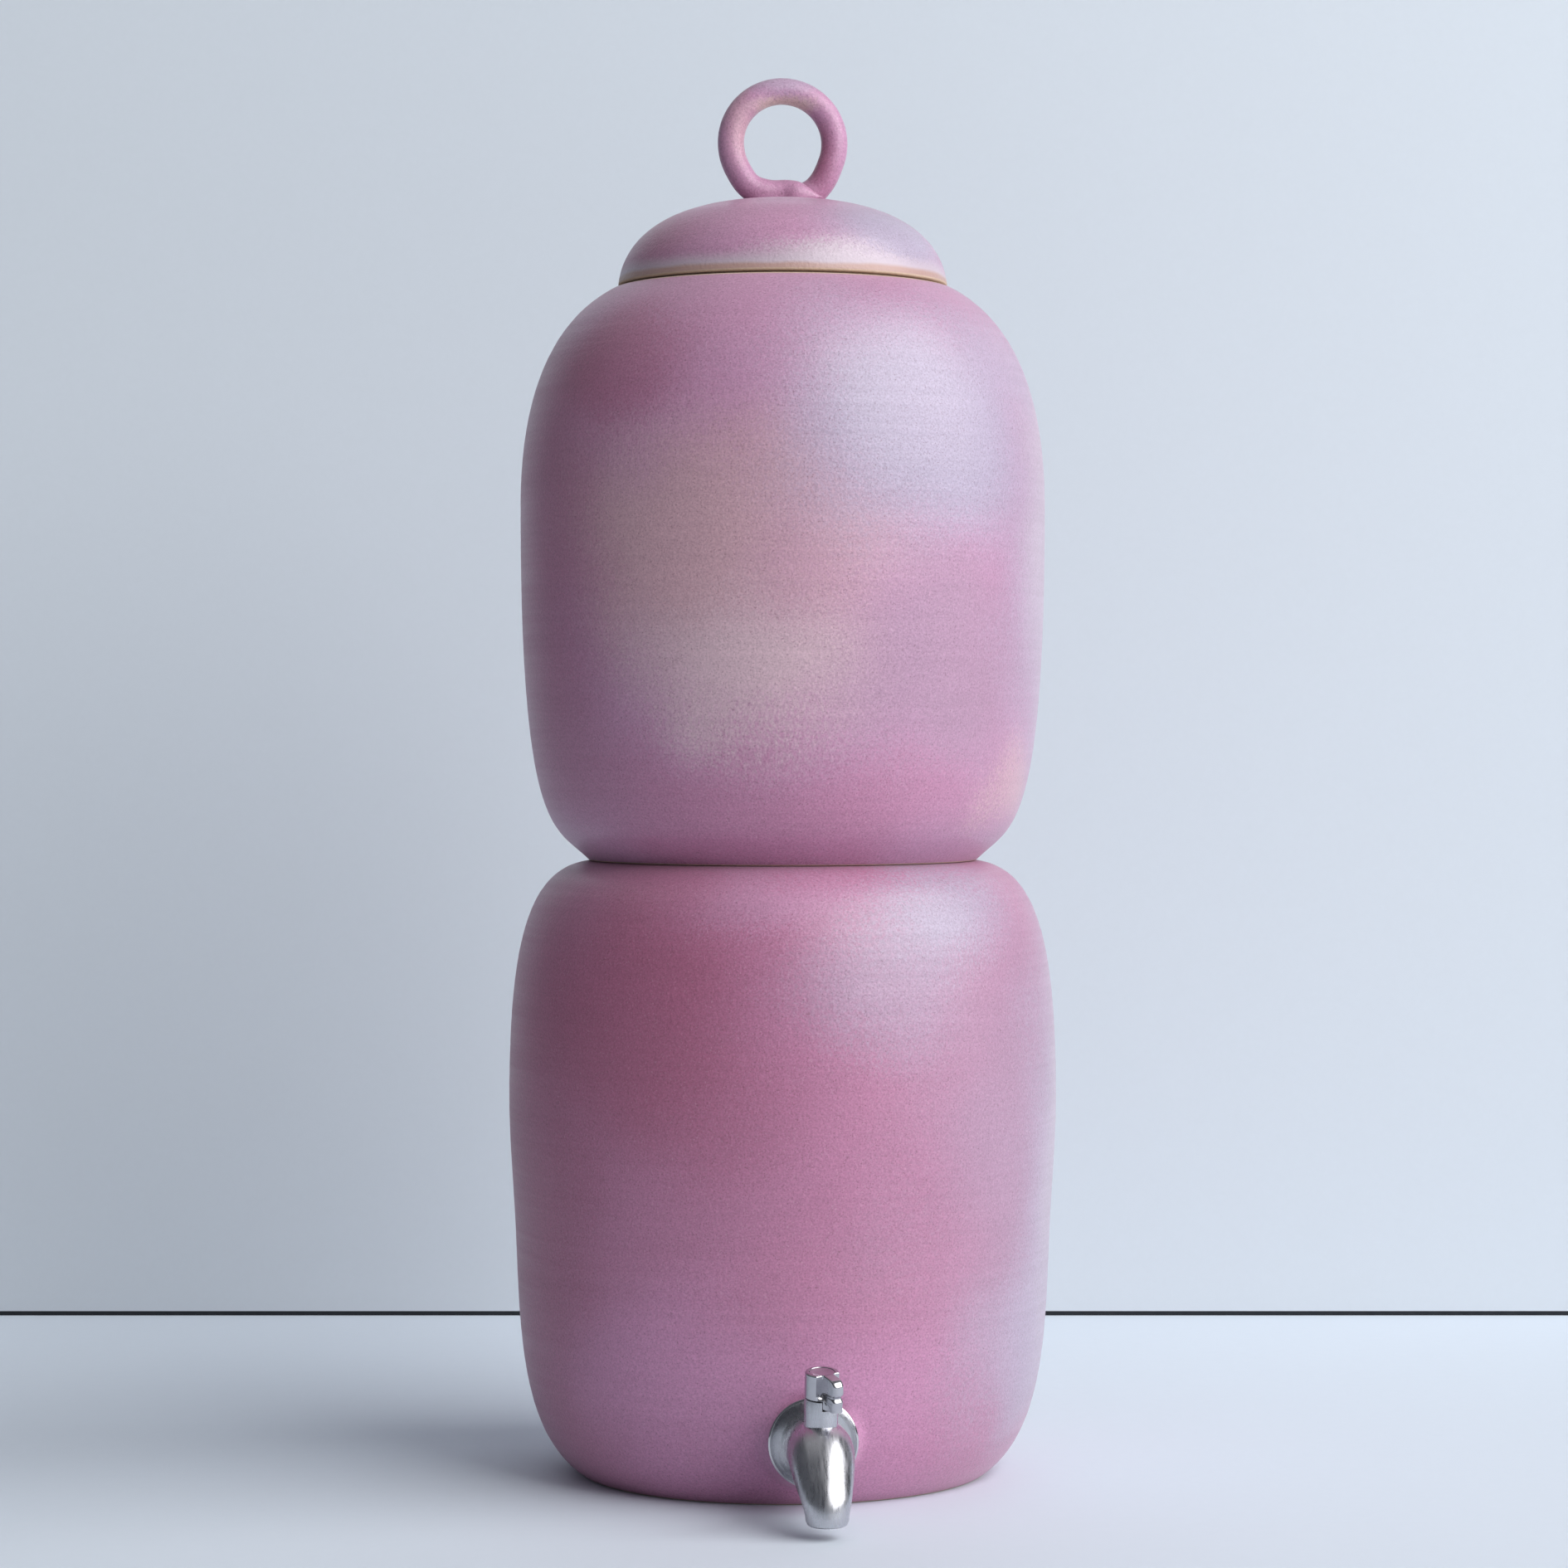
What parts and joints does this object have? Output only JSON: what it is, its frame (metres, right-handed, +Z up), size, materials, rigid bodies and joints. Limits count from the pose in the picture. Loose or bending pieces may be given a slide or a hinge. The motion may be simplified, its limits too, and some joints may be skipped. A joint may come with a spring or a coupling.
{
  "type": "clay water filter dispenser",
  "caption": "Two stacked stoneware jars with a domed ring-handled lid, a filter candle inside and a lever tap low on the front.",
  "frame": {"origin": "centre of the lower jar's flat foot, on the surface it stands on", "axes": "+Z up along the jars' common axis, -Y towards the tap, +X to the right of someone facing the tap"},
  "size_m": [0.2162, 0.2643, 0.5497],
  "materials": {
    "lower_glaze": "satin",
    "upper_glaze": "satin",
    "lid_glaze": "satin",
    "ring_glaze": "satin",
    "polished_steel": "polished",
    "brushed_steel": "satin",
    "candle_ceramic": "matte",
    "carbon": "matte",
    "white_plastic": "satin",
    "silicone": "satin",
    "black_rubber": "matte",
    "sealing_plastic": "satin"
  },
  "bodies": {
    "stand": {"lower_pot": "lower_glaze", "outer_washer": "silicone", "inner_washer": "silicone", "steel_washer": "brushed_steel", "tap_flange": "polished_steel", "lock_nut": "brushed_steel", "tap_body": "polished_steel", "seal_sleeve": "sealing_plastic", "retaining_clip": "brushed_steel"},
    "filter_jar": {"upper_pot": "upper_glaze", "filter_base": "white_plastic", "candle_shell": "candle_ceramic", "carbon_core": "carbon", "floor_gasket": "silicone", "under_gasket": "silicone", "wing_nut": "white_plastic"},
    "cover": {"lid": "lid_glaze", "ring_handle": "ring_glaze"},
    "tap_turn": {"tap_handle": "polished_steel", "handle_screw": "brushed_steel", "handle_cover": "polished_steel", "valve_spindle": "brushed_steel", "lower_o_ring": "black_rubber", "upper_o_ring": "black_rubber", "thrust_washer": "sealing_plastic"}
  },
  "joints": [
    {"name": "upper_jar_lift", "type": "slide", "parent": "stand", "child": "filter_jar", "axis": [0, 0, 1], "range_m": [0, 0.15]},
    {"name": "lid_lift", "type": "slide", "parent": "filter_jar", "child": "cover", "axis": [0, 0, 1], "range_m": [0, 0.12]},
    {"name": "tap_lever", "type": "hinge", "parent": "stand", "child": "tap_turn", "pos_m": [0, -0.1255, 0.0275], "axis": [0, -0.1822, 0.9833], "range_deg": [0, 90]}
  ]
}
